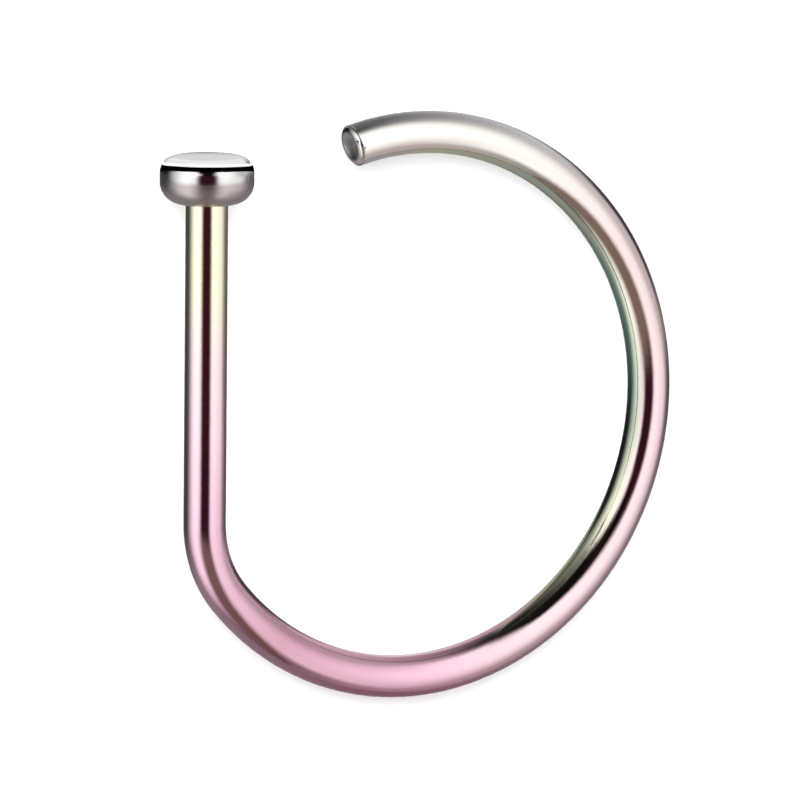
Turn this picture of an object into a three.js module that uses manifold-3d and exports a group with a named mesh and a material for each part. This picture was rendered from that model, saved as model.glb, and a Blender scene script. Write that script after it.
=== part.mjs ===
// A D-shaped nose hoop: one round wire with a straight post, a tight bend and an open cut end, and a
// flat-topped disc on the post's end that stops it at the piercing.
// Millimetres, +Z up. The hoop lies on its side on Z = 0, its post along +Y with the disc at the +Y end,
// leaning a little because the disc is wider than the wire. The origin is under the middle of its box.
import * as THREE from "three";
import { mergeVertices } from "three/addons/utils/BufferGeometryUtils.js";
import Module from "manifold-3d";

// Wire
const WIRE_DIAMETER = 0.8; // 20 gauge, the usual wire for a nostril
const HOOP_INNER_DIAMETER = 9.6;
const POST_INSET = 0.73; // from the hoop's circle in to the post, middle line to middle line
const POST_LENGTH = 6.11; // from the end of the bend to the underside of the disc
const BEND_RADIUS = 2.2; // of the wire's middle line, from the post into the hoop
const MOUTH_WIDTH = 2.2; // from the side of the disc across to the middle of the cut end
const END_CHAMFER = 0.08; // the broken edge of the cut end

// Disc
const DISC_DIAMETER = 1.78;
const DISC_THICKNESS = 0.9;
const DISC_TOP_ROUNDING = 0.3;
const DISC_LOWER_ROUNDING = 0.4;
const SOCKET_DEPTH = 0.5;
const SOCKET_CLEARANCE = 0.02; // round the wire's end and over it

// Fineness of the faceted surfaces
const WIRE_SIDES = 24;
const WIRE_STEPS = 108;
const DISC_SIDES = 48;
const ROUNDING_STEPS = 8;

// The hoop is drawn flat, in x and y about the centre of its circle, with the post upright on the left.
const wireRadius = WIRE_DIAMETER / 2;
const hoopRadius = HOOP_INNER_DIAMETER / 2 + wireRadius;
const discRadius = DISC_DIAMETER / 2;
const postX = POST_INSET - hoopRadius;
const bendCentre = new THREE.Vector2(postX + BEND_RADIUS, 0);
bendCentre.y = -Math.sqrt((hoopRadius - BEND_RADIUS) ** 2 - bendCentre.x ** 2);
const bendEndAngle = bendCentre.angle(); // where the bend runs into the circle
const openEndAngle = Math.acos((postX + discRadius + MOUTH_WIDTH) / hoopRadius);
const discUndersideY = bendCentre.y + POST_LENGTH;

const steelWithRoseCoat = new THREE.MeshStandardMaterial({
  name: "coated_steel",
  color: 0xe6cdd0,
  metalness: 1,
  roughness: 0.12,
});
const brightSteel = new THREE.MeshStandardMaterial({
  name: "polished_steel",
  color: 0xdcdcda,
  metalness: 1,
  roughness: 0.1,
});

// A line drawn flat with lines and arcs, as a curve in space.
class FlatCurve extends THREE.Curve {
  constructor(path) {
    super();
    this.path = path;
  }

  getPoint(t, target = new THREE.Vector3()) {
    const point = this.path.getPoint(t);
    return target.set(point.x, point.y, 0);
  }
}

// The wire's middle line, from the disc's socket down the post, round the bend and round the hoop.
function wireMiddleLine() {
  const path = new THREE.Path();
  path.moveTo(postX, discUndersideY + SOCKET_DEPTH - SOCKET_CLEARANCE);
  path.lineTo(postX, bendCentre.y);
  path.absarc(bendCentre.x, bendCentre.y, BEND_RADIUS, Math.PI, bendEndAngle, false);
  path.absarc(0, 0, hoopRadius, bendEndAngle, openEndAngle + 2 * Math.PI, false);
  return new FlatCurve(path);
}

const manifold = await Module();
manifold.setup();

// A closed geometry as a solid that can be cut.
function solidOf(geometry) {
  const bare = geometry.clone();
  bare.deleteAttribute("normal");
  bare.deleteAttribute("uv");
  const merged = mergeVertices(bare);
  return new manifold.Manifold(
    new manifold.Mesh({
      numProp: 3,
      vertProperties: new Float32Array(merged.attributes.position.array),
      triVerts: new Uint32Array(merged.index.array),
    }),
  );
}

// A cut solid as a geometry again, with flat faces.
function geometryOf(solid) {
  const { vertProperties, triVerts } = solid.getMesh();
  const indexed = new THREE.BufferGeometry();
  indexed.setAttribute("position", new THREE.BufferAttribute(vertProperties, 3));
  indexed.setIndex(new THREE.BufferAttribute(triVerts, 1));
  const geometry = indexed.toNonIndexed();
  geometry.computeVertexNormals();
  return geometry;
}

// What a file takes off the edge of the cut end: a ring with a three-cornered section, in its place.
function endChamferRing() {
  const over = END_CHAMFER;
  const section = [
    new THREE.Vector2(wireRadius - END_CHAMFER - over, over),
    new THREE.Vector2(wireRadius + over, -END_CHAMFER - over),
    new THREE.Vector2(wireRadius + over, over),
  ];
  const ring = new THREE.LatheGeometry([...section, section[0]], WIRE_SIDES);
  const outward = new THREE.Vector3(Math.cos(openEndAngle), Math.sin(openEndAngle), 0);
  const up = new THREE.Vector3(0, 0, 1);
  const alongWire = new THREE.Vector3().crossVectors(up, outward);
  const place = new THREE.Matrix4().makeBasis(outward, alongWire, up);
  place.setPosition(outward.clone().multiplyScalar(hoopRadius));
  return ring.applyMatrix4(place);
}

function hoopWire() {
  const section = new THREE.Shape().absarc(0, 0, wireRadius, 0, 2 * Math.PI, false);
  const wire = new THREE.ExtrudeGeometry(section, {
    curveSegments: WIRE_SIDES / 2,
    steps: WIRE_STEPS,
    extrudePath: wireMiddleLine(),
  });
  const dressed = solidOf(wire).subtract(solidOf(endChamferRing()));
  const mesh = new THREE.Mesh(geometryOf(dressed), steelWithRoseCoat);
  mesh.name = "hoop_wire";
  return mesh;
}

// The disc's half section, from the roof of the socket round the outside to the middle of the top.
function discHead() {
  const socketRadius = wireRadius + SOCKET_CLEARANCE;
  const half = new THREE.Path();
  half.moveTo(0, SOCKET_DEPTH);
  half.lineTo(socketRadius, SOCKET_DEPTH);
  half.lineTo(socketRadius, 0);
  half.lineTo(discRadius - DISC_LOWER_ROUNDING, 0);
  half.absarc(
    discRadius - DISC_LOWER_ROUNDING,
    DISC_LOWER_ROUNDING,
    DISC_LOWER_ROUNDING,
    -Math.PI / 2,
    0,
    false,
  );
  half.absarc(
    discRadius - DISC_TOP_ROUNDING,
    DISC_THICKNESS - DISC_TOP_ROUNDING,
    DISC_TOP_ROUNDING,
    0,
    Math.PI / 2,
    false,
  );
  half.lineTo(0, DISC_THICKNESS);
  const turned = new THREE.LatheGeometry(half.getPoints(ROUNDING_STEPS / 2), DISC_SIDES);
  const mesh = new THREE.Mesh(turned, brightSteel);
  mesh.name = "disc_head";
  mesh.position.set(postX, discUndersideY, 0);
  return mesh;
}

// Lays the flat-drawn hoop down as it rests by itself: on the lower rim of the disc and on the side of
// the hoop straight across from it, so it leans by the difference of their radii over that distance.
function layDown(hoop) {
  const discRest = new THREE.Vector2(postX, discUndersideY + DISC_LOWER_ROUNDING);
  const across = discRest.clone().negate().normalize();
  const lean = Math.asin((discRadius - wireRadius) / (hoopRadius + discRest.length()));
  const floorUp = new THREE.Vector3(
    -across.x * Math.sin(lean),
    -across.y * Math.sin(lean),
    Math.cos(lean),
  );
  hoop.quaternion.setFromUnitVectors(floorUp, new THREE.Vector3(0, 0, 1));
  const box = new THREE.Box3().setFromObject(hoop, true);
  const middle = box.getCenter(new THREE.Vector3());
  hoop.position.set(-middle.x, -middle.y, -box.min.z);
}

const noseRing = new THREE.Group();
const hoop = new THREE.Group();
hoop.add(hoopWire(), discHead());
layDown(hoop);
noseRing.add(hoop);

export default noseRing;
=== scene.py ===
"""A D-shaped nose hoop lying on a pale studio floor.

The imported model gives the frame: one coated wire and the polished disc on its post. This script models
both again with smooth surfaces, gives them their finishes, and sets the floor, the light and the camera.
"""

import math

import bmesh
import bpy
from mathutils import Matrix, Quaternion, Vector


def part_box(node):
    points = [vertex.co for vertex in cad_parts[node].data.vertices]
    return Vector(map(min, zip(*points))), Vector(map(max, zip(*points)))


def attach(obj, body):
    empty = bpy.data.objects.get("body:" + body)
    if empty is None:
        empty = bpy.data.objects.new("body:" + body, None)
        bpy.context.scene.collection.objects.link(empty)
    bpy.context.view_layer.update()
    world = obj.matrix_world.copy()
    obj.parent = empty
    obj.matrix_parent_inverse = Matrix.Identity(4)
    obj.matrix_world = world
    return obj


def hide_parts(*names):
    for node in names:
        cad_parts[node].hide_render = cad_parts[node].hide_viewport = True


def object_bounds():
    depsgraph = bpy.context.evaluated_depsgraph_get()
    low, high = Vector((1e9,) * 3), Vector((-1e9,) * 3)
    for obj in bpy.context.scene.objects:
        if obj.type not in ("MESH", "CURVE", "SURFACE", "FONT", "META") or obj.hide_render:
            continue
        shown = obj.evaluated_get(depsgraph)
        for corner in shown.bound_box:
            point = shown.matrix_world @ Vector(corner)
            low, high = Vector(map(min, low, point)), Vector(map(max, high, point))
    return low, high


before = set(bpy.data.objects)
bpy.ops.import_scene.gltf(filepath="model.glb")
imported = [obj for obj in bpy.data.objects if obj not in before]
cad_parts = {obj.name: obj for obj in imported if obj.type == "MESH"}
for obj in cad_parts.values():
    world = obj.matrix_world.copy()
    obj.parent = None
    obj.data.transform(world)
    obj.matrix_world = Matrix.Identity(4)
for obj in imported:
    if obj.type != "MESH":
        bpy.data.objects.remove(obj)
CAD_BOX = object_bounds()

bl_info = {
    "name": "Nose Hoop",
    "version": (1, 0, 0),
    "blender": (4, 5, 0),
    "location": "3D View > Sidebar > Nose Hoop",
    "description": "Models a coated nose hoop with a polished disc on its post",
    "category": "Add Mesh",
}

MM = 0.001

# Fineness of the smooth surfaces
WIRE_SIDES = 96
POST_STEPS = 12
BEND_STEPS = 24
HOOP_STEPS = 300
END_ROUNDING_SEGMENTS = 6
CROWN_INSETS = 9
DISC_SIDES = 160
DISC_ROUNDING_SEGMENTS = 14
SHARP_ANGLE = math.radians(50)
DOUBLES_WITHIN = 1e-5


def length_size(name, description, default_mm):
    """A size of the object, in metres, as a user would set it."""
    return bpy.props.FloatProperty(
        name=name,
        description=description,
        default=default_mm * MM,
        min=0.0,
        precision=5,
        unit="LENGTH",
    )


def finish_colour(name, description, default):
    """A colour of a finish, in linear light."""
    return bpy.props.FloatVectorProperty(
        name=name,
        description=description,
        default=default,
        min=0.0,
        max=1.0,
        size=3,
        subtype="COLOR",
    )


class HoopWireSettings(bpy.types.PropertyGroup):
    """Sizes of the wire, and its colours: the coat's drift along it, with painted reflections laid in round
    it.
    """

    wire_diameter: length_size("Wire diameter", "Thickness of the round wire", 0.8)
    inner_diameter: length_size("Inner diameter", "Width inside the hoop's circle", 9.6)
    post_inset: length_size("Post inset", "From the hoop's circle in to the post, between middle lines", 0.73)
    post_length: length_size("Post length", "From the end of the bend to the underside of the disc", 6.11)
    bend_radius: length_size("Bend radius", "Of the wire's middle line, from the post into the hoop", 2.2)
    mouth_width: length_size("Mouth width", "From the disc's side across to the middle of the cut end", 2.2)
    end_rounding: length_size("End rounding", "Rounding of the rim of the cut end", 0.13)
    end_crown: length_size("End crown", "Height of the slight dome of the cut end", 0.05)
    straw: finish_colour("Straw", "Coat at the top of the post", (0.95, 0.91, 0.68))
    pale_rose: finish_colour("Pale rose", "Coat of the middle of the post", (0.95, 0.75, 0.76))
    rose: finish_colour("Rose", "Coat of the foot of the post", (0.92, 0.67, 0.75))
    mauve: finish_colour("Mauve", "Coat of the bend", (0.82, 0.54, 0.66))
    plum: finish_colour("Plum", "Coat past the bend", (0.67, 0.37, 0.47))
    # Past the bend each side's colour is the coat with painted reflections laid in: light and dark bands,
    # near black in umber and lead.
    berry: finish_colour("Berry", "Lowest stretch, outer side", (0.60, 0.15, 0.28))
    heather: finish_colour("Heather", "Right of the hoop, outer side", (0.53, 0.32, 0.42))
    slate: finish_colour("Slate", "Upper right of the hoop, outer side", (0.56, 0.52, 0.54))
    lead: finish_colour("Lead", "Cut end, outer side", (0.10, 0.10, 0.10))
    petal: finish_colour("Petal", "Lowest stretch, face of the hoop", (0.88, 0.53, 0.66))
    blush: finish_colour("Blush", "Right of the hoop, face of the hoop", (0.89, 0.69, 0.72))
    sand: finish_colour("Sand", "Upper right of the hoop, face of the hoop", (0.86, 0.71, 0.69))
    silver: finish_colour("Silver", "Cut end, face of the hoop", (0.96, 0.93, 0.87))
    wine: finish_colour("Wine", "Lowest stretch, inner side", (0.43, 0.21, 0.27))
    umber: finish_colour("Umber", "Lower right of the hoop, inner side", (0.05, 0.04, 0.04))
    cream: finish_colour("Cream", "Below the middle of the right, inner side", (0.95, 0.94, 0.71))
    reed: finish_colour("Reed", "Middle of the right, inner side", (0.49, 0.55, 0.44))
    sage: finish_colour("Sage", "Upper right of the hoop, inner side", (0.70, 0.77, 0.61))
    honey: finish_colour("Honey", "Top of the hoop, inner side", (0.95, 0.90, 0.56))
    pearl: finish_colour("Pearl", "Cut end, inner side", (0.95, 0.78, 0.80))
    olive: finish_colour("Olive", "Lower right of the hoop, underside", (0.27, 0.32, 0.17))
    sea_green: finish_colour("Sea green", "Right of the hoop, underside", (0.33, 0.62, 0.52))
    deep_sea: finish_colour("Deep sea", "Upper right of the hoop, underside", (0.30, 0.44, 0.39))
    old_gold: finish_colour("Old gold", "Top of the hoop, underside", (0.47, 0.46, 0.34))
    old_rose: finish_colour("Old rose", "Cut end, underside", (0.52, 0.32, 0.38))
    bare_cut: finish_colour("Bare cut", "Bare metal of the cut end", (0.80, 0.79, 0.78))


class DiscHeadSettings(bpy.types.PropertyGroup):
    """Sizes and colour of the disc."""

    diameter: length_size("Diameter", "Width of the disc", 1.78)
    thickness: length_size("Thickness", "From the underside to the top", 0.9)
    top_rounding: length_size("Top rounding", "Rounding of the upper rim", 0.3)
    lower_rounding: length_size("Lower rounding", "Rounding of the lower rim", 0.4)
    crown: length_size("Crown", "Height of the slight dome of the top", 0.015)
    socket_depth: length_size("Socket depth", "Depth of the hole that takes the wire's end", 0.5)
    socket_clearance: length_size("Socket clearance", "Gap round the wire's end and over it", 0.02)
    steel: finish_colour("Steel", "Colour of the bare polished steel", (0.80, 0.80, 0.79))
    rosy_grey: finish_colour("Rosy grey", "Thin coat on the disc's lower half", (0.56, 0.49, 0.50))
    coat_edge: length_size("Coat edge", "Height of the thin coat above the underside", 0.5)


class StudioSettings(bpy.types.PropertyGroup):
    """The floor, the light and the camera."""

    floor_width: bpy.props.FloatProperty(
        name="Floor width",
        description="Width of the round floor",
        default=2.4,
        min=0.1,
        unit="LENGTH",
    )
    floor_colour: finish_colour("Floor colour", "Colour of the pale floor", (0.90, 0.90, 0.90))
    backdrop_colour: finish_colour("Backdrop colour", "Shows past the floor's edge", (0.95, 0.95, 0.95))
    panel_brightness: bpy.props.FloatProperty(
        name="Panel brightness",
        description="How bright the white studio panels are",
        default=1.5,
        min=0.0,
    )
    lamp_power: bpy.props.FloatProperty(
        name="Lamp power",
        description="Power of the two soft lamps over the floor",
        default=6.4,
        min=0.0,
        unit="POWER",
    )
    shadow_share: bpy.props.FloatProperty(
        name="Shadow share",
        description="Share of the lamps' power that throws a shadow",
        default=0.5,
        min=0.0,
        max=1.0,
        subtype="FACTOR",
    )
    camera_distance: bpy.props.FloatProperty(
        name="Camera distance",
        description="From the hoop's middle to the camera",
        default=0.4,
        min=0.05,
        unit="LENGTH",
    )
    camera_turn: bpy.props.FloatProperty(
        name="Camera turn",
        description="How far the camera looks from the left of the hoop's face",
        default=math.radians(29.85),
        subtype="ANGLE",
    )
    camera_rise: bpy.props.FloatProperty(
        name="Camera rise",
        description="How far the camera looks from the disc's end of the post",
        default=math.radians(9.0),
        subtype="ANGLE",
    )
    camera_roll: bpy.props.FloatProperty(
        name="Camera roll",
        description="Turn of the picture",
        default=math.radians(-0.49),
        subtype="ANGLE",
    )


class HoopLayout:
    """Places worked out from the sizes, in millimetres.

    The hoop is drawn flat, in x and y about the centre of its circle, with the post upright on the left.
    """

    def __init__(self, wire, disc):
        self.wire_radius = wire.wire_diameter / MM / 2
        self.hoop_radius = wire.inner_diameter / MM / 2 + self.wire_radius
        self.disc_radius = disc.diameter / MM / 2
        self.bend_radius = wire.bend_radius / MM
        self.post_x = wire.post_inset / MM - self.hoop_radius
        bend_x = self.post_x + self.bend_radius
        bend_y = -math.sqrt((self.hoop_radius - self.bend_radius) ** 2 - bend_x**2)
        self.bend_centre = Vector((bend_x, bend_y, 0))
        self.bend_angle = math.atan2(-bend_y, -bend_x)
        mouth_x = self.post_x + self.disc_radius + wire.mouth_width / MM
        self.open_angle = math.acos(mouth_x / self.hoop_radius)
        self.hoop_angle = math.pi + self.open_angle - self.bend_angle
        self.disc_underside = Vector((self.post_x, bend_y + wire.post_length / MM, 0))
        self.disc_rest_y = self.disc_underside.y + disc.lower_rounding / MM

    def laid_down(self):
        """The move from the flat drawing, in millimetres, to the hoop at rest on the floor, in metres.

        It rests on the lower rim of the disc and on the side of the hoop straight across from it.
        """
        disc_rest = Vector((self.post_x, self.disc_rest_y, 0))
        across = -disc_rest.normalized()
        rise = self.disc_radius - self.wire_radius
        lean = math.asin(rise / (self.hoop_radius + disc_rest.length))
        floor_up = Vector((0, 0, math.cos(lean))) - across * math.sin(lean)
        turn = floor_up.rotation_difference(Vector((0, 0, 1)))
        face = turn @ Vector((0, 0, 1))
        low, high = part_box("hoop_wire")
        reach = [(self.hoop_radius * math.sqrt(1 - n * n) + self.wire_radius) * MM for n in face]
        centre = Vector((high.x - reach[0], high.y - reach[1], low.z + reach[2]))
        return Matrix.LocRotScale(centre, turn, Vector((MM, MM, MM)))


def layout_of(scene):
    """The layout that the scene's own sizes give."""
    return HoopLayout(scene.hoop_wire, scene.disc_head)


# Making pieces

QUAD_CORNERS = 4


def edges_among(verts):
    """The edges whose two ends are both in the given vertices."""
    chosen = set(verts)
    return [e for e in {e for v in chosen for e in v.link_edges} if set(e.verts) <= chosen]


def round_faces(bm):
    """The flat round faces, which have many more sides than the four of the faces round them."""
    return [face for face in bm.faces if len(face.verts) > QUAD_CORNERS]


def stepped_extrusion(bm, edges, step, count):
    """Extrudes a ring of edges along a straight line, and returns the ring it ends in."""
    for _ in range(count):
        made = bmesh.ops.extrude_edge_only(bm, edges=edges)["geom"]
        verts = [g for g in made if isinstance(g, bmesh.types.BMVert)]
        bmesh.ops.translate(bm, verts=verts, vec=step)
        edges = edges_among(verts)
    return edges


def spun_extrusion(bm, edges, centre, angle, count):
    """Extrudes a ring of edges round a centre in the flat drawing, and returns the ring it ends in."""
    verts = list({v for e in edges for v in e.verts})
    made = bmesh.ops.spin(
        bm,
        geom=edges + verts,
        cent=centre,
        axis=(0, 0, 1),
        angle=angle,
        steps=count,
    )["geom_last"]
    return [g for g in made if isinstance(g, bmesh.types.BMEdge)]


def crown(bm, face, width, height):
    """Domes a flat round face by insets that rise less and less towards its middle."""
    rings = CROWN_INSETS + 1
    for i in range(CROWN_INSETS):
        outer = (1 - i / rings) ** 2
        inner = (1 - (i + 1) / rings) ** 2
        bmesh.ops.inset_region(
            bm,
            faces=[face],
            thickness=width / rings,
            depth=height * (outer - inner),
            use_even_offset=True,
        )


def round_rim(bm, edges, radius, segments):
    """Rounds the rim of a flat end."""
    bmesh.ops.bevel(
        bm,
        geom=edges,
        offset=radius,
        offset_type="OFFSET",
        segments=segments,
        profile=0.5,
        affect="EDGES",
        material=-1,
    )


def finished_piece(name, bm, place, material, node):
    """Turns a bmesh into a piece of the object that stands for a node of the frame."""
    bmesh.ops.remove_doubles(bm, verts=bm.verts, dist=DOUBLES_WITHIN)
    bmesh.ops.recalc_face_normals(bm, faces=bm.faces)
    mesh = bpy.data.meshes.new(name)
    bm.to_mesh(mesh)
    bm.free()
    mesh.transform(place)
    mesh.shade_smooth()
    mesh.set_sharp_from_angle(angle=SHARP_ANGLE)
    mesh.materials.append(material)
    piece = bpy.data.objects.new(name, mesh)
    bpy.context.scene.collection.objects.link(piece)
    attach(piece, "root")
    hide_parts(node)
    return piece


def wire_mesh(layout, wire, disc):
    """The wire from inside the disc's socket down the post, round the bend and round to the cut end."""
    in_socket = (disc.socket_depth - disc.socket_clearance) / MM
    start = layout.disc_underside + Vector((0, in_socket, 0))
    bm = bmesh.new()
    ring = bmesh.ops.create_circle(
        bm,
        cap_ends=True,
        segments=WIRE_SIDES,
        radius=layout.wire_radius,
        matrix=Matrix.Translation(start) @ Matrix.Rotation(math.pi / 2, 4, "X"),
    )["verts"]
    step = Vector((0, layout.bend_centre.y - start.y, 0)) / POST_STEPS
    edges = stepped_extrusion(bm, edges_among(ring), step, POST_STEPS)
    edges = spun_extrusion(bm, edges, layout.bend_centre, layout.bend_angle, BEND_STEPS)
    edges = spun_extrusion(bm, edges, (0, 0, 0), layout.hoop_angle, HOOP_STEPS)
    end_face = bmesh.ops.contextual_create(bm, geom=edges)["faces"][0]
    rounding = wire.end_rounding / MM
    round_rim(bm, list(end_face.edges), rounding, END_ROUNDING_SEGMENTS)
    cut_end = max(round_faces(bm), key=lambda face: face.calc_center_median().x)
    crown(bm, cut_end, layout.wire_radius - rounding, wire.end_crown / MM)
    return bm


def disc_mesh(layout, disc):
    """The disc with its two rounded rims, slightly domed top and the blind hole for the wire's end."""
    radius = layout.disc_radius
    thickness = (disc.thickness - disc.crown) / MM
    middle = layout.disc_underside + Vector((0, thickness / 2, 0))
    bm = bmesh.new()
    bmesh.ops.create_cone(
        bm,
        cap_ends=True,
        segments=DISC_SIDES,
        radius1=radius,
        radius2=radius,
        depth=thickness,
        matrix=Matrix.Translation(middle) @ Matrix.Rotation(-math.pi / 2, 4, "X"),
    )
    top = max(round_faces(bm), key=lambda face: face.calc_center_median().y)
    round_rim(bm, list(top.edges), disc.top_rounding / MM, DISC_ROUNDING_SEGMENTS)
    underside = min(round_faces(bm), key=lambda face: face.calc_center_median().y)
    round_rim(bm, list(underside.edges), disc.lower_rounding / MM, DISC_ROUNDING_SEGMENTS)
    underside, top = sorted(round_faces(bm), key=lambda face: face.calc_center_median().y)
    crown(bm, top, radius - disc.top_rounding / MM, disc.crown / MM)
    socket_radius = layout.wire_radius + disc.socket_clearance / MM
    bmesh.ops.inset_region(
        bm,
        faces=[underside],
        thickness=radius - disc.lower_rounding / MM - socket_radius,
        use_even_offset=True,
    )
    roof = bmesh.ops.extrude_face_region(bm, geom=[underside])["geom"]
    bmesh.ops.delete(bm, geom=[underside], context="FACES_ONLY")
    roof_verts = [g for g in roof if isinstance(g, bmesh.types.BMVert)]
    bmesh.ops.translate(bm, verts=roof_verts, vec=(0, disc.socket_depth / MM, 0))
    return bm


# Shader maths


class Wired:
    """A node's output. Python's operators on it add Math nodes."""

    def __init__(self, sheet, socket):
        self.sheet = sheet
        self.socket = socket

    def with_math(self, operation, first, second):
        return self.sheet.node("ShaderNodeMath", {"operation": operation}, {0: first, 1: second})

    def __add__(self, other):
        return self.with_math("ADD", self, other)

    __radd__ = __add__

    def __sub__(self, other):
        return self.with_math("SUBTRACT", self, other)

    def __rsub__(self, other):
        return self.with_math("SUBTRACT", other, self)

    def __mul__(self, other):
        return self.with_math("MULTIPLY", self, other)

    __rmul__ = __mul__

    def __truediv__(self, other):
        return self.with_math("DIVIDE", self, other)

    def __pow__(self, other):
        return self.with_math("POWER", self, other)


# A Mix node's colour sockets, by number because its other sockets have the same names
MIX_FIRST_COLOUR = 6
MIX_SECOND_COLOUR = 7
MIX_COLOUR_RESULT = 2


class NodeSheet:
    """The nodes of one material or world."""

    def __init__(self, owner):
        owner.use_nodes = True
        self.tree = owner.node_tree
        self.tree.nodes.clear()

    def node(self, kind, settings=None, inputs=None, output=0):
        """Adds a node, sets its settings, then its inputs, and returns one of its outputs."""
        made = self.tree.nodes.new(kind)
        for name, value in (settings or {}).items():
            if name == "stops":
                self.set_stops(made.color_ramp, value)
            else:
                setattr(made, name, value)
        for key, value in (inputs or {}).items():
            if isinstance(value, Wired):
                self.tree.links.new(value.socket, made.inputs[key])
            else:
                made.inputs[key].default_value = value
        return Wired(self, made.outputs[output]) if len(made.outputs) else None

    def set_stops(self, ramp, stops):
        """A colour ramp's stops, as pairs of a place from 0 to 1 and a colour."""
        while len(ramp.elements) < len(stops):
            ramp.elements.new(1.0)
        for element, (place, colour) in zip(ramp.elements, stops):
            element.position = place
            element.color = (*colour, 1)

    def smooth_step(self, value, start, end):
        """0 before start, 1 after end, and a smooth rise between them."""
        return self.node(
            "ShaderNodeMapRange",
            {"interpolation_type": "SMOOTHSTEP"},
            {"Value": value, "From Min": start, "From Max": end},
        )

    def band(self, value, low, high, edge):
        """1 between low and high, and 0 outside them past a soft edge."""
        rise = self.smooth_step(value, low - edge, low + edge)
        fall = self.smooth_step(value, high - edge, high + edge)
        return rise * (1 - fall)

    def mixed_colour(self, share, first, second):
        """The first colour, turning into the second as share goes from 0 to 1."""
        return self.node(
            "ShaderNodeMix",
            {"data_type": "RGBA"},
            {"Factor": share, MIX_FIRST_COLOUR: first, MIX_SECOND_COLOUR: second},
            MIX_COLOUR_RESULT,
        )

    def parts_of(self, vector):
        """A vector's x, y and z."""
        first = self.node("ShaderNodeSeparateXYZ", {}, {"Vector": vector})
        return [Wired(self, socket) for socket in first.socket.node.outputs]

    def arctangent(self, opposite, adjacent):
        """The angle, in radians, of a right triangle whose two short sides are the values."""
        return self.node("ShaderNodeMath", {"operation": "ARCTAN2"}, {0: opposite, 1: adjacent})


# Finishes

# Angles about the hoop's centre in degrees, 0 at the right and anticlockwise as the camera sees it. The
# ramps of coat colour and painted reflection run from the middle of the mouth, down the post, round the
# bottom and up to the cut end.
MOUTH_MIDDLE = 121.0
TURN_DEGREES = 360.0

# The last angles before the cut at which the coat is whole, and at which the metal is bare
COAT_STOPS_BEFORE_CUT = 1.2
BARE_BEFORE_CUT = 0.4

# The coat along the wire, as an angle and the name of its colour there
POST_COAT = (
    (144, "straw"),
    (150, "straw"),
    (164, "pale_rose"),
    (184, "rose"),
    (205, "mauve"),
    (235, "plum"),
)
# Past the bend these tables differ round the wire: the differences are painted reflections laid over the
# coat, such as the near-black umber on the inner side.
OUTER_SIDE_COAT_AND_REFLECTION = (*POST_COAT, (268, "berry"), (310, "heather"), (0, "heather"), (62, "slate"), (98, "lead"))
FACE_SIDE_COAT_AND_REFLECTION = (*POST_COAT, (268, "petal"), (300, "blush"), (350, "blush"), (30, "sand"), (70, "silver"))
INNER_SIDE_COAT_AND_REFLECTION = (
    *POST_COAT,
    (264, "wine"),
    (290, "umber"),
    (320, "cream"),
    (352, "reed"),
    (25, "sage"),
    (65, "sage"),
    (86, "honey"),
    (99, "pearl"),
)
UNDER_SIDE_COAT_AND_REFLECTION = (
    *POST_COAT,
    (264, "mauve"),
    (290, "wine"),
    (315, "olive"),
    (332, "sage"),
    (349, "reed"),
    (2, "sea_green"),
    (31, "deep_sea"),
    (46, "old_gold"),
    (88, "old_gold"),
    (96, "old_rose"),
)

# Where one side's colour, coat with painted reflection, gives way to the next, in degrees round the wire:
# 0 faces up and 90 the hoop's centre
OUTER_TO_FACE = (-63, -23)
FACE_TO_INNER = (34, 62)
INNER_TO_UNDER = (69, 84)

# The polish: a faint ripple, its height in metres, and a haze that drifts over the surface
RIPPLES_PER_MM = 9.0
RIPPLE_DETAIL = 3.0
RIPPLE_STRENGTH = 0.02
RIPPLE_HEIGHT = 0.00005
HAZE_PER_MM = 3.0
HAZE_DETAIL = 4.0
HAZE_UNEVENNESS = 0.6
WIRE_SMOOTHEST = 0.05
WIRE_ROUGHEST = 0.09

# The disc's steel, and the fade at the edge of its thin coat, in millimetres
STEEL_CLOUDS_PER_MM = 2.5
STEEL_CLOUD_DETAIL = 3.0
STEEL_CLOUD_SHADE = 0.96
COAT_FADE_BELOW = 0.08
COAT_FADE_ABOVE = 0.04
SATIN_ROUGHNESS = 0.29
BARE_ROUGHNESS = 0.04
DISC_HAZE = 0.04

# The floor's grain
GRAIN_PER_M = 900.0
GRAIN_DETAIL = 3.0
GRAIN_SHADE = 0.985
FLOOR_ROUGHNESS = 0.9


def along_wire(degrees_from_right):
    """A place on the wire's colour ramps, from its angle about the hoop's centre."""
    return ((degrees_from_right - MOUTH_MIDDLE) % TURN_DEGREES) / TURN_DEGREES


def ramp_stops(coat, wire, open_angle):
    """A table's colours, coat with painted reflection, as the stops of a colour ramp, which ends in the bare
    face of the cut.
    """
    last_colour = coat[-1][1]
    cut = (
        (open_angle - COAT_STOPS_BEFORE_CUT, last_colour),
        (open_angle - BARE_BEFORE_CUT, "bare_cut"),
    )
    return [(along_wire(angle), tuple(getattr(wire, name))) for angle, name in (*coat, *cut)]


def cloud(sheet, point, scale, detail, roughness=0.5):
    """Soft noise between 0 and 1."""
    return sheet.node(
        "ShaderNodeTexNoise",
        {},
        {"Vector": point, "Scale": scale, "Detail": detail, "Roughness": roughness},
    )


def polished_surface(sheet, base_colour, roughness, hoop_point):
    """A metal shader with the faint ripple of a polished surface."""
    ripple = cloud(sheet, hoop_point, RIPPLES_PER_MM, RIPPLE_DETAIL)
    normal = sheet.node(
        "ShaderNodeBump",
        {},
        {"Strength": RIPPLE_STRENGTH, "Distance": RIPPLE_HEIGHT, "Height": ripple},
    )
    return sheet.node(
        "ShaderNodeBsdfPrincipled",
        {},
        {
            "Base Color": base_colour,
            "Metallic": 1.0,
            "Roughness": roughness,
            "Normal": normal,
        },
    )


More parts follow.
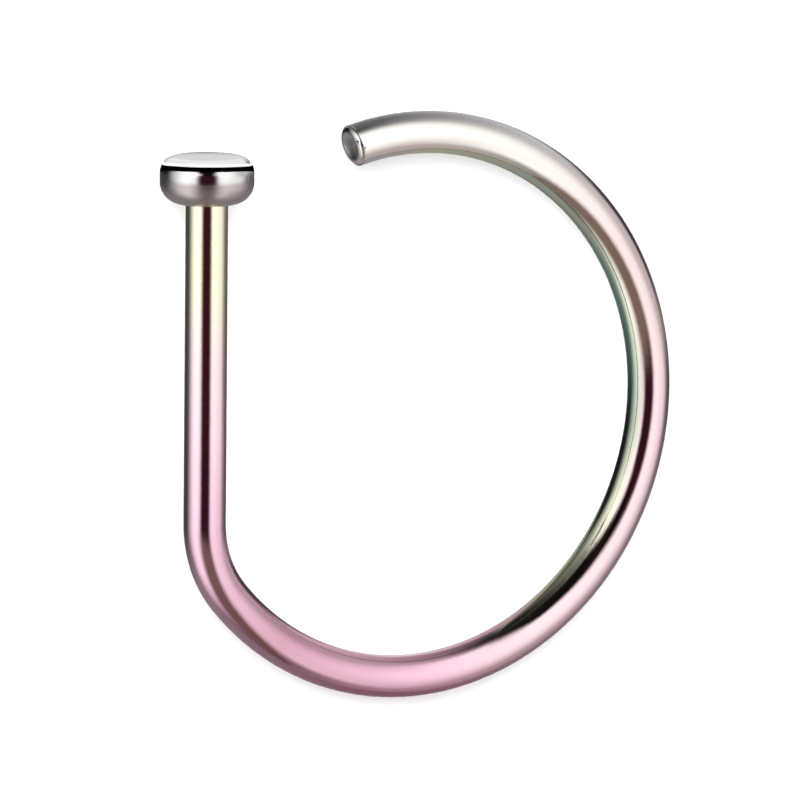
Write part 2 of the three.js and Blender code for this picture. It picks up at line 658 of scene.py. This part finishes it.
def hazed(sheet, hoop_point, smoothest, roughest):
    """A roughness that drifts between two values, as handling leaves it."""
    haze = cloud(sheet, hoop_point, HAZE_PER_MM, HAZE_DETAIL, HAZE_UNEVENNESS)
    return smoothest + haze * (roughest - smoothest)


def hoop_coordinates(sheet, layout):
    """Object coordinates brought back to the flat drawing, in millimetres."""
    place = layout.laid_down()
    back = place.inverted()
    point = sheet.node("ShaderNodeTexCoord", output="Object")
    return sheet.node(
        "ShaderNodeMapping",
        {"vector_type": "POINT"},
        {
            "Vector": point,
            "Location": back.to_translation(),
            "Rotation": back.to_euler("XYZ"),
            "Scale": back.to_scale(),
        },
    )


def coated_steel(layout, wire):
    """Steel with a thin coat whose colour drifts along the wire; its differences round the wire are painted
    reflections, light and dark bands.
    """
    material = bpy.data.materials.new("coated_steel")
    sheet = NodeSheet(material)
    hoop_point = hoop_coordinates(sheet, layout)
    mouth_at_back = sheet.node(
        "ShaderNodeMapping",
        {"vector_type": "POINT"},
        {"Vector": hoop_point, "Rotation": (0, 0, math.pi - math.radians(MOUTH_MIDDLE))},
    )
    turned_x, turned_y, height = sheet.parts_of(mouth_at_back)
    along = sheet.arctangent(turned_y, turned_x) / (2 * math.pi) + 0.5
    from_centre = (turned_x * turned_x + turned_y * turned_y) ** 0.5
    round_wire = sheet.arctangent(layout.hoop_radius - from_centre, height)
    open_angle = math.degrees(layout.open_angle)
    # One ramp for each side of the wire, each the coat with painted reflections, blended round the wire
    # below.
    outer, face, inner, under = (
        sheet.node("ShaderNodeValToRGB", {"stops": ramp_stops(coat, wire, open_angle)}, {"Fac": along})
        for coat in (OUTER_SIDE_COAT_AND_REFLECTION, FACE_SIDE_COAT_AND_REFLECTION, INNER_SIDE_COAT_AND_REFLECTION, UNDER_SIDE_COAT_AND_REFLECTION)
    )
    to_face, to_inner, to_under = (
        sheet.smooth_step(round_wire, math.radians(start), math.radians(end))
        for start, end in (OUTER_TO_FACE, FACE_TO_INNER, INNER_TO_UNDER)
    )
    colour = sheet.mixed_colour(to_face, outer, face)
    colour = sheet.mixed_colour(to_inner, colour, inner)
    colour = sheet.mixed_colour(to_under, colour, under)
    roughness = hazed(sheet, hoop_point, WIRE_SMOOTHEST, WIRE_ROUGHEST)
    surface = polished_surface(sheet, colour, roughness, hoop_point)
    sheet.node("ShaderNodeOutputMaterial", {}, {"Surface": surface})
    return material


def polished_steel(layout, disc):
    """Bare polished steel, whose lower half has a thin rosy coat with a satin look."""
    material = bpy.data.materials.new("polished_steel")
    sheet = NodeSheet(material)
    hoop_point = hoop_coordinates(sheet, layout)
    clouds = cloud(sheet, hoop_point, STEEL_CLOUDS_PER_MM, STEEL_CLOUD_DETAIL)
    height = sheet.parts_of(hoop_point)[1] - layout.disc_underside.y
    coat_edge = disc.coat_edge / MM
    bare = sheet.smooth_step(height, coat_edge - COAT_FADE_BELOW, coat_edge + COAT_FADE_ABOVE)
    steel = Vector(disc.steel)
    steel_colour = sheet.mixed_colour(clouds, (*(steel * STEEL_CLOUD_SHADE), 1), (*steel, 1))
    colour = sheet.mixed_colour(bare, (*disc.rosy_grey, 1), steel_colour)
    satin = SATIN_ROUGHNESS - bare * (SATIN_ROUGHNESS - BARE_ROUGHNESS)
    roughness = satin + hazed(sheet, hoop_point, 0.0, DISC_HAZE)
    surface = polished_surface(sheet, colour, roughness, hoop_point)
    sheet.node("ShaderNodeOutputMaterial", {}, {"Surface": surface})
    return material


def floor_finish(studio):
    """Matt pale paper with a trace of grain."""
    material = bpy.data.materials.new("pale_floor")
    sheet = NodeSheet(material)
    point = sheet.node("ShaderNodeTexCoord", output="Object")
    grain = cloud(sheet, point, GRAIN_PER_M, GRAIN_DETAIL)
    pale = Vector(studio.floor_colour)
    colour = sheet.mixed_colour(grain, (*(pale * GRAIN_SHADE), 1), (*pale, 1))
    surface = sheet.node(
        "ShaderNodeBsdfPrincipled",
        {},
        {"Base Color": colour, "Roughness": FLOOR_ROUGHNESS, "Specular IOR Level": 0.0},
    )
    sheet.node("ShaderNodeOutputMaterial", {}, {"Surface": surface})
    return material


# Stage

FLOOR_SIDES = 128
LAMP_PLACE = Vector((-0.20, 0.20, 0.38))
LAMP_WIDTH = 0.45

# What the metal reflects, as panels seen from the hoop: the turn from straight over its face towards its
# right, from and to, the height towards the disc's end, from and to, the softness of the upright edges
# and of the level ones, all in degrees, then the brightness as a share of a white panel's, and the tint.
# Each is laid over those before it.
NEUTRAL = (1.0, 1.0, 1.0)
PLUM = (1.0, 0.22, 0.42)
ROSY = (1.0, 0.86, 0.88)
BROWN = (1.0, 0.64, 0.44)
TAN = (1.0, 0.75, 0.60)
ROOM_BRIGHTNESS = 0.2
PANELS = (
    ("far right", 63, 200, -100, 100, 32, 5, 0.003, NEUTRAL),
    ("dark behind the left", -200, -122, -100, 100, 32, 5, 0.01, NEUTRAL),
    ("high left", -170, -77, 28, 88, 9, 6, 0.23, NEUTRAL),
    ("left soft box", -112, -18, -72, 46, 32, 6, 0.89, NEUTRAL),
    ("right soft box", -21, 73, -58, 66, 20, 14, 0.83, NEUTRAL),
    ("high right", 47, 142, -4, 82, 25, 6, 0.41, NEUTRAL),
    ("low right", 34, 101, -100, -15, 32, 30, 0.30, ROSY),
    ("low left", -171, -41, -100, -57, 13, 25, 0.17, ROSY),
    ("back board", 110, 200, 4, 84, 10, 5, 0.52, NEUTRAL),
    ("top of the back board", 110, 200, 16, 86, 28, 5, 0.68, NEUTRAL),
    ("back board past the left", -200, -171, 16, 86, 9, 6, 0.68, NEUTRAL),
    ("low behind the left", -200, -125, -100, -20, 10, 22, 0.22, NEUTRAL),
    ("low behind the right", 100, 200, -100, -12, 28, 12, 0.22, NEUTRAL),
    ("gap for the camera", -47, -7, -100, 43, 12, 5, 0.004, BROWN),
    ("gap foot", -60, -1, -100, -6, 19, 20, 0.15, TAN),
    ("high gap", -52, -10, 28, 49, 8, 6, 0.01, BROWN),
    ("gap for the post", -50, -7, -15, 14, 10, 6, 0.022, PLUM),
    ("gap over the camera", -65, 1, 39, 83, 8, 8, 0.0, NEUTRAL),
    ("dark ceiling", -200, 15, 56, 100, 8, 30, 0.01, NEUTRAL),
    ("dark overhead", -200, 200, 77, 100, 5, 12, 0.03, ROSY),
    ("dark spot", 93, 134, -2, 20, 10, 6, 0.05, NEUTRAL),
)


def studio_world(layout, studio):
    """Soft white panels with dark gaps between them, for the metal alone to reflect."""
    world = bpy.data.worlds.new("studio")
    sheet = NodeSheet(world)
    back = layout.laid_down().inverted()
    direction = sheet.node(
        "ShaderNodeMapping",
        {"vector_type": "POINT"},
        {
            "Vector": sheet.node("ShaderNodeTexCoord", output="Generated"),
            "Rotation": back.to_euler("XYZ"),
        },
    )
    x, y, z = sheet.parts_of(direction)
    turn = sheet.arctangent(x, z)
    height = sheet.node("ShaderNodeMath", {"operation": "ARCSINE"}, {0: y})
    light = (ROOM_BRIGHTNESS, ROOM_BRIGHTNESS, ROOM_BRIGHTNESS, 1)
    for _, *angles, brightness, tint in PANELS:
        left, right, bottom, top, upright_edge, level_edge = (math.radians(angle) for angle in angles)
        across = sheet.band(turn, left, right, upright_edge)
        upwards = sheet.band(height, bottom, top, level_edge)
        colour = Vector(tint) * brightness
        light = sheet.mixed_colour(across * upwards, light, (*colour, 1))
    panels = sheet.node(
        "ShaderNodeBackground",
        {},
        {"Color": light, "Strength": studio.panel_brightness},
    )
    backdrop = sheet.node("ShaderNodeBackground", {}, {"Color": (*studio.backdrop_colour, 1)})
    seen_directly = sheet.node("ShaderNodeLightPath", output="Is Camera Ray")
    surface = sheet.node("ShaderNodeMixShader", {}, {0: seen_directly, 1: panels, 2: backdrop})
    sheet.node("ShaderNodeOutputWorld", {}, {"Surface": surface})
    world.cycles_visibility.diffuse = False
    return world


def make_floor(studio):
    """A round floor under the hoop, which the metal doesn't mirror."""
    bm = bmesh.new()
    bmesh.ops.create_circle(bm, cap_ends=True, segments=FLOOR_SIDES, radius=studio.floor_width / 2)
    mesh = bpy.data.meshes.new("floor")
    bm.to_mesh(mesh)
    bm.free()
    mesh.transform(Matrix.Translation((0, 0, CAD_BOX[0].z)))
    mesh.materials.append(floor_finish(studio))
    floor = bpy.data.objects.new("floor", mesh)
    bpy.context.scene.collection.objects.link(floor)
    floor.visible_glossy = False
    return floor


def make_lamp(name, power, throws_shadow):
    """A soft lamp that lights the floor and leaves the metal's reflections alone."""
    lamp = bpy.data.lights.new(name, "AREA")
    lamp.shape = "DISK"
    lamp.size = LAMP_WIDTH
    lamp.energy = power
    lamp.use_shadow = throws_shadow
    held = bpy.data.objects.new(name, lamp)
    held.location = LAMP_PLACE
    held.rotation_mode = "QUATERNION"
    held.rotation_quaternion = (-LAMP_PLACE).to_track_quat("-Z", "Y")
    held.visible_glossy = False
    held.visible_camera = False
    bpy.context.scene.collection.objects.link(held)
    return held


# Two narrow cards rolled into collars, held close over the disc. It mirrors the black one as the dark line
# under its shoulder, and the white one as the bright crescent over that. Their edges are circles, placed
# forwards and upwards of the middle of the disc's underside, in millimetres, and tipped up at the front,
# in degrees.
TOP_EDGE = {"radius": 1.10, "forwards": -0.53, "upwards": 0.95, "tilt": 15.1}
MIDDLE_EDGE = {"radius": 1.12, "forwards": -0.16, "upwards": 0.90, "tilt": 20.4}
LOWER_EDGE = {"radius": 1.15, "forwards": 0.27, "upwards": 0.76, "tilt": 20.2}

# How far behind that middle the cards are cut away, in millimetres, and how far they face to the left
CARD_CUT = 0.9
CARD_FACING = 30.0
CARD_SIDES = 96
BLACK_BRIGHTNESS = 0.0
WHITE_BRIGHTNESS = 1.25


def make_disc_card(name, edges, brightness, layout):
    """A collar between two circles, which only mirrors see."""
    bm = bmesh.new()
    for edge in edges:
        centre = Matrix.Translation((edge["forwards"], 0, edge["upwards"]))
        tilt = Matrix.Rotation(-math.radians(edge["tilt"]), 4, "Y")
        bmesh.ops.create_circle(bm, segments=CARD_SIDES, radius=edge["radius"], matrix=centre @ tilt)
    bmesh.ops.bridge_loops(bm, edges=bm.edges)
    bmesh.ops.bisect_plane(
        bm,
        geom=[*bm.verts, *bm.edges, *bm.faces],
        plane_co=(-CARD_CUT, 0, 0),
        plane_no=(-1, 0, 0),
        clear_outer=True,
    )
    turn = math.radians(-CARD_FACING)
    forwards = Vector((math.sin(turn), 0, math.cos(turn)))
    upwards = Vector((0, 1, 0))
    facing = Matrix((forwards, upwards.cross(forwards), upwards)).transposed().to_4x4()
    mesh = bpy.data.meshes.new(name)
    bm.to_mesh(mesh)
    bm.free()
    mesh.transform(layout.laid_down() @ Matrix.Translation(layout.disc_underside) @ facing)
    material = bpy.data.materials.new(name)
    sheet = NodeSheet(material)
    surface = sheet.node("ShaderNodeEmission", {}, {"Strength": brightness})
    sheet.node("ShaderNodeOutputMaterial", {}, {"Surface": surface})
    mesh.materials.append(material)
    card = bpy.data.objects.new(name, mesh)
    bpy.context.scene.collection.objects.link(card)
    card.visible_camera = False
    card.visible_diffuse = False
    card.visible_shadow = False
    return card


# The picture in pixels, the camera's sensor in millimetres, and its near and far limits in metres
PICTURE_WIDTH = 800
PIXELS_PER_MM = 52.857
HOOP_CENTRE_IN_PICTURE = (411.5, 404.4)
SENSOR_WIDTH = 36.0
NEAR_LIMIT = 0.01
FAR_LIMIT = 10.0


def make_camera(layout, studio):
    """The camera, looking at the hoop as the photograph does."""
    place = layout.laid_down()
    turned = Quaternion((0, 1, 0), -studio.camera_turn)
    raised = Quaternion((1, 0, 0), -studio.camera_rise)
    rolled = Quaternion((0, 0, 1), -studio.camera_roll)
    facing = place.to_quaternion() @ turned @ raised @ rolled
    right, up, back = facing.to_matrix().transposed()
    offset_right = (PICTURE_WIDTH / 2 - HOOP_CENTRE_IN_PICTURE[0]) / PIXELS_PER_MM * MM
    offset_up = (HOOP_CENTRE_IN_PICTURE[1] - PICTURE_WIDTH / 2) / PIXELS_PER_MM * MM
    aim = place.to_translation() + right * offset_right + up * offset_up
    lens = bpy.data.cameras.new("camera")
    lens.sensor_width = SENSOR_WIDTH
    lens.lens = PIXELS_PER_MM / MM * studio.camera_distance * SENSOR_WIDTH / PICTURE_WIDTH
    lens.clip_start = NEAR_LIMIT
    lens.clip_end = FAR_LIMIT
    camera = bpy.data.objects.new("camera", lens)
    camera.rotation_mode = "QUATERNION"
    camera.rotation_quaternion = facing
    camera.location = aim + back * studio.camera_distance
    bpy.context.scene.collection.objects.link(camera)
    bpy.context.scene.camera = camera
    return camera


# Operators and panel


class NOSEHOOP_OT_hoop_wire(bpy.types.Operator):
    """Models the coated wire: post, bend and open hoop"""

    bl_idname = "nose_hoop.hoop_wire"
    bl_label = "Hoop Wire"

    def execute(self, context):
        scene = context.scene
        layout = layout_of(scene)
        bm = wire_mesh(layout, scene.hoop_wire, scene.disc_head)
        material = coated_steel(layout, scene.hoop_wire)
        finished_piece("wire", bm, layout.laid_down(), material, "hoop_wire")
        return {"FINISHED"}


class NOSEHOOP_OT_disc_head(bpy.types.Operator):
    """Models the polished disc on the post's end"""

    bl_idname = "nose_hoop.disc_head"
    bl_label = "Disc Head"

    def execute(self, context):
        scene = context.scene
        layout = layout_of(scene)
        bm = disc_mesh(layout, scene.disc_head)
        material = polished_steel(layout, scene.disc_head)
        finished_piece("disc", bm, layout.laid_down(), material, "disc_head")
        return {"FINISHED"}


class NOSEHOOP_OT_stage(bpy.types.Operator):
    """Sets the pale floor, the soft light and the camera"""

    bl_idname = "nose_hoop.stage"
    bl_label = "Studio"

    def execute(self, context):
        scene = context.scene
        studio = scene.studio
        layout = layout_of(scene)
        scene.world = studio_world(layout, studio)
        scene.view_settings.view_transform = "Standard"
        make_floor(studio)
        shadow_power = studio.lamp_power * studio.shadow_share
        make_lamp("shadow_lamp", shadow_power, throws_shadow=True)
        make_lamp("fill_lamp", studio.lamp_power - shadow_power, throws_shadow=False)
        make_disc_card("black_card", (MIDDLE_EDGE, LOWER_EDGE), BLACK_BRIGHTNESS, layout)
        make_disc_card("white_card", (TOP_EDGE, MIDDLE_EDGE), WHITE_BRIGHTNESS, layout)
        make_camera(layout, studio)
        return {"FINISHED"}


class NOSEHOOP_PT_pieces(bpy.types.Panel):
    """The nose hoop's pieces and its studio"""

    bl_idname = "NOSEHOOP_PT_pieces"
    bl_label = "Nose Hoop"
    bl_space_type = "VIEW_3D"
    bl_region_type = "UI"
    bl_category = "Nose Hoop"

    def draw(self, context):
        for operator in OPERATORS:
            self.layout.operator(operator.bl_idname)


OPERATORS = (NOSEHOOP_OT_hoop_wire, NOSEHOOP_OT_disc_head, NOSEHOOP_OT_stage)
SETTINGS = {"hoop_wire": HoopWireSettings, "disc_head": DiscHeadSettings, "studio": StudioSettings}
CLASSES = (*SETTINGS.values(), *OPERATORS, NOSEHOOP_PT_pieces)


def register():
    """Adds the settings, the operators and the panel."""
    for cls in CLASSES:
        bpy.utils.register_class(cls)
    for name, group in SETTINGS.items():
        setattr(bpy.types.Scene, name, bpy.props.PointerProperty(type=group))


def unregister():
    """Takes away what register adds."""
    for name in SETTINGS:
        delattr(bpy.types.Scene, name)
    for cls in reversed(CLASSES):
        bpy.utils.unregister_class(cls)


def main():
    register()
    bpy.ops.nose_hoop.hoop_wire()
    bpy.ops.nose_hoop.disc_head()
    bpy.ops.nose_hoop.stage()


if __name__ == "__main__":
    main()
